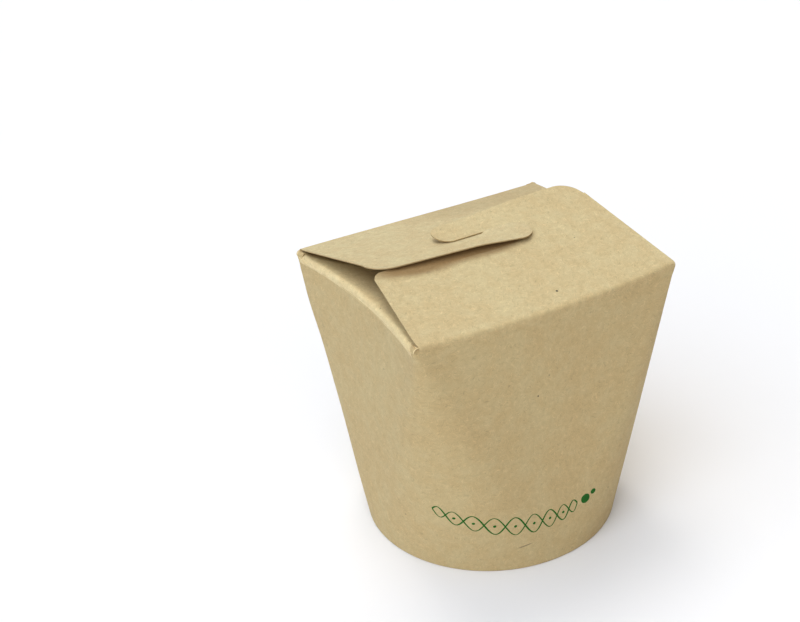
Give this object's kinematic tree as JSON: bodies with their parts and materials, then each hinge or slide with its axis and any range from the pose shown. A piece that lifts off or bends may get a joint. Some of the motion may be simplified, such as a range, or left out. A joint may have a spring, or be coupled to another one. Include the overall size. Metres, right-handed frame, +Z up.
{
  "type": "noodle takeaway box",
  "caption": "Shut kraft board takeaway box with a round base, walls that flare to a rectangle, and interlocking top flaps that form a low roof.",
  "frame": {"origin": "middle of the round foot, on the surface that the box stands on", "axes": "+X to the right along the front wall, +Y from the front wall to the back wall, +Z up"},
  "size_m": [0.1022, 0.093, 0.1133],
  "materials": {
    "kraft_walls": "uncoated brown kraft, matt, with fine fibres",
    "kraft_front_flap": "uncoated brown kraft, matt, with fine fibres",
    "kraft_back_flap": "uncoated brown kraft, matt, with fine fibres",
    "kraft_side_flap": "uncoated brown kraft, matt, with fine fibres",
    "kraft_base": "uncoated brown kraft, matt, with fine fibres",
    "green_print": "thin green ink printed on the board"
  },
  "bodies": {
    "root": {"body": "kraft_walls", "base_disc": "kraft_base", "side_flap_left": "kraft_side_flap", "side_flap_right": "kraft_side_flap", "front_flap": "kraft_front_flap", "back_flap": "kraft_back_flap"}
  },
  "joints": []
}
